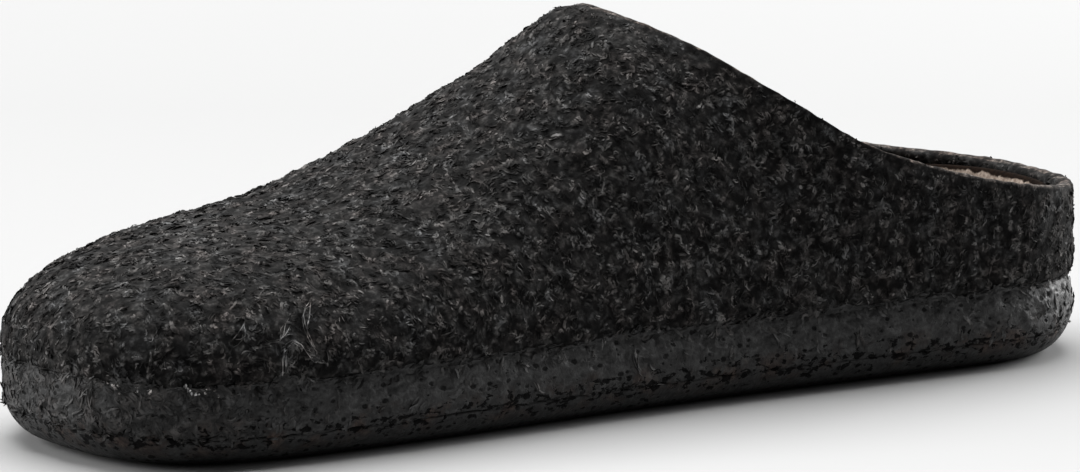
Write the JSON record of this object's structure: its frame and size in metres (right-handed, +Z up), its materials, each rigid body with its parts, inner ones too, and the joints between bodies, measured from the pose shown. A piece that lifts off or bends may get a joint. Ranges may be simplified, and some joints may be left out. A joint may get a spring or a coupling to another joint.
{
  "type": "slipper",
  "caption": "Backless felt house slipper for the left foot, with a round toe, a rubber-coated band above a rubber outsole, and a suede-covered cork footbed.",
  "frame": {"origin": "middle of the slipper's length and width, on the floor", "axes": "+X from the toe to the heel, +Z up, -Y towards the outer side of the foot"},
  "size_m": [0.28, 0.099, 0.0895],
  "materials": {
    "felt": "matt mottled charcoal wool felt",
    "coating": "semi-gloss coat over felt",
    "tread": "satin",
    "suede": "matt tan suede"
  },
  "bodies": {
    "root": {"upper": "felt", "band": "coating", "outsole": "tread", "footbed": "suede"}
  },
  "joints": []
}
